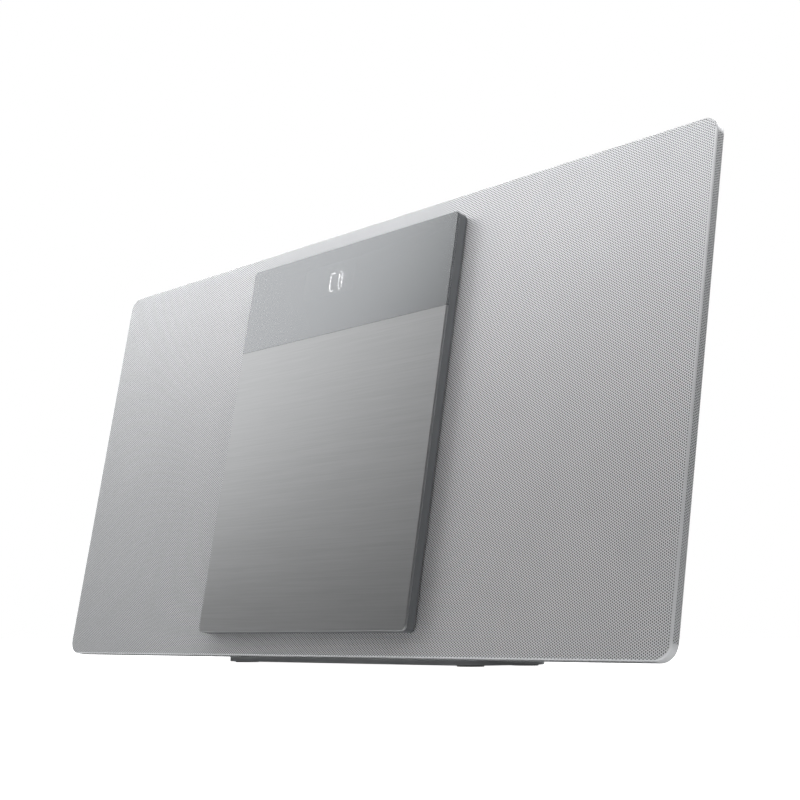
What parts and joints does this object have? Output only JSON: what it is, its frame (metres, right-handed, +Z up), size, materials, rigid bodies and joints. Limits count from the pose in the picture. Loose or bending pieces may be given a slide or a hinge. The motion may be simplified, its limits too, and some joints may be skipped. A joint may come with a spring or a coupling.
{
  "type": "compact stereo system",
  "caption": "Flat compact disc stereo: a leaning perforated front panel on a small foot, a sliding door over the disc well, speakers and a tapered rear cabinet.",
  "frame": {"origin": "middle of the ground contact, under the centre of the overall box", "axes": "+X to the right as the front is faced, +Y backwards into the cabinet, +Z up"},
  "size_m": [0.41, 0.084, 0.2146],
  "materials": {
    "perforated_sheet": "satin",
    "dark_plastic": "fine grained",
    "fascia_plastic": "satin",
    "circuit_board": "solder mask",
    "brushed_sheet": "brushed",
    "window_strip": "half-mirror gloss",
    "door_plastic": "satin",
    "gear_plastic": "smooth",
    "steel": "satin",
    "hub_plastic": "smooth",
    "rubber": "matt",
    "lens_glass": "coated",
    "magnet": "matt",
    "cone_paper": "fibrous",
    "board_parts": "moulded",
    "brass": "turned",
    "cast_aluminium": "cast",
    "button_plastic": "satin",
    "cabinet_plastic": "satin paint",
    "jack_plastic": "moulded",
    "plated_metal": "plated",
    "foot_plastic": "satin"
  },
  "bodies": {
    "housing": {"grille_net": "perforated_sheet", "grille_frame": "dark_plastic", "front_baffle": "dark_plastic", "centre_fascia": "fascia_plastic", "disc_tray": "dark_plastic", "display_module": "fascia_plastic", "display_board": "circuit_board", "door_rods": "steel", "door_gearbox": "dark_plastic", "door_motor": "steel", "mech_chassis": "steel", "mech_posts": "dark_plastic", "spindle_motor": "steel", "sled_rods": "steel", "sled_motor": "steel", "left_speaker_frame": "steel", "left_speaker_magnet": "magnet", "left_surround": "rubber", "right_speaker_frame": "steel", "right_speaker_magnet": "magnet", "right_surround": "rubber", "left_port_tube": "dark_plastic", "right_port_tube": "dark_plastic", "main_board": "circuit_board", "board_parts": "board_parts", "board_standoffs": "brass", "heat_sink": "cast_aluminium", "key_board": "circuit_board", "rear_cabinet": "cabinet_plastic", "jack_panel": "dark_plastic", "power_jack": "jack_plastic", "aux_jack": "jack_plastic", "aerial_socket": "plated_metal", "cabinet_screws": "steel", "foot": "foot_plastic", "foot_pads": "rubber", "foot_screws": "steel"},
    "door": {"door_plate": "brushed_sheet", "door_window": "window_strip", "door_carrier": "door_plastic", "door_runner_upper": "dark_plastic", "door_runner_lower": "dark_plastic", "door_rack": "gear_plastic"},
    "pinion": {"door_pinion": "gear_plastic"},
    "turntable": {"turntable_hub": "hub_plastic", "turntable_mat": "rubber"},
    "sled": {"pickup_sled": "dark_plastic", "pickup_lens": "lens_glass"},
    "sled_gear": {"sled_gear": "gear_plastic"},
    "left_cone": {"left_cone": "cone_paper"},
    "right_cone": {"right_cone": "cone_paper"},
    "power_button": {"power_button": "button_plastic"},
    "source_button": {"source_button": "button_plastic"},
    "volume_down_button": {"volume_down_button": "button_plastic"},
    "volume_up_button": {"volume_up_button": "button_plastic"},
    "stop_button": {"stop_button": "button_plastic"},
    "play_button": {"play_button": "button_plastic"},
    "open_button": {"open_button": "button_plastic"}
  },
  "joints": [
    {"name": "door_slide", "type": "slide", "parent": "housing", "child": "door", "axis": [1, 0, 0], "range_m": [0, 0.128]},
    {"name": "pinion_spin", "type": "hinge", "parent": "housing", "child": "pinion", "pos_m": [0.051, -0.02041, 0.03632], "axis": [0, 0.9839, -0.1788], "range_deg": [-918, 0]},
    {"name": "turntable_spin", "type": "hinge", "parent": "housing", "child": "turntable", "pos_m": [-0.008, -0.01681, 0.08969], "axis": [0, 0.9839, -0.1788], "continuous": true},
    {"name": "sled_slide", "type": "slide", "parent": "housing", "child": "sled", "axis": [1, 0, 0], "range_m": [0, 0.033]},
    {"name": "sled_gear_spin", "type": "hinge", "parent": "housing", "child": "sled_gear", "pos_m": [0.038, -0.01568, 0.05955], "axis": [0, 0.9839, -0.1788], "range_deg": [0, 379]},
    {"name": "left_cone_stroke", "type": "slide", "parent": "housing", "child": "left_cone", "axis": [0, -0.9839, 0.1788], "range_m": [-0.0015, 0.0015], "stiffness_N_per_m": 1500},
    {"name": "right_cone_stroke", "type": "slide", "parent": "housing", "child": "right_cone", "axis": [0, -0.9839, 0.1788], "range_m": [-0.0015, 0.0015], "stiffness_N_per_m": 1500},
    {"name": "power_press", "type": "slide", "parent": "housing", "child": "power_button", "axis": [0, 0, -1], "range_m": [0, 0.0008], "stiffness_N_per_m": 500, "springref_m": -0.0005},
    {"name": "source_press", "type": "slide", "parent": "housing", "child": "source_button", "axis": [0, 0, -1], "range_m": [0, 0.0008], "stiffness_N_per_m": 500, "springref_m": -0.0005},
    {"name": "volume_down_press", "type": "slide", "parent": "housing", "child": "volume_down_button", "axis": [0, 0, -1], "range_m": [0, 0.0008], "stiffness_N_per_m": 500, "springref_m": -0.0005},
    {"name": "volume_up_press", "type": "slide", "parent": "housing", "child": "volume_up_button", "axis": [0, 0, -1], "range_m": [0, 0.0008], "stiffness_N_per_m": 500, "springref_m": -0.0005},
    {"name": "stop_press", "type": "slide", "parent": "housing", "child": "stop_button", "axis": [0, 0, -1], "range_m": [0, 0.0008], "stiffness_N_per_m": 500, "springref_m": -0.0005},
    {"name": "play_press", "type": "slide", "parent": "housing", "child": "play_button", "axis": [0, 0, -1], "range_m": [0, 0.0008], "stiffness_N_per_m": 500, "springref_m": -0.0005},
    {"name": "open_press", "type": "slide", "parent": "housing", "child": "open_button", "axis": [0, 0, -1], "range_m": [0, 0.0008], "stiffness_N_per_m": 500, "springref_m": -0.0005}
  ],
  "couplings": [
    {"joint": "pinion_spin", "follows": "door_slide", "rad_per_m": -125},
    {"joint": "sled_gear_spin", "follows": "sled_slide", "rad_per_m": 200}
  ]
}
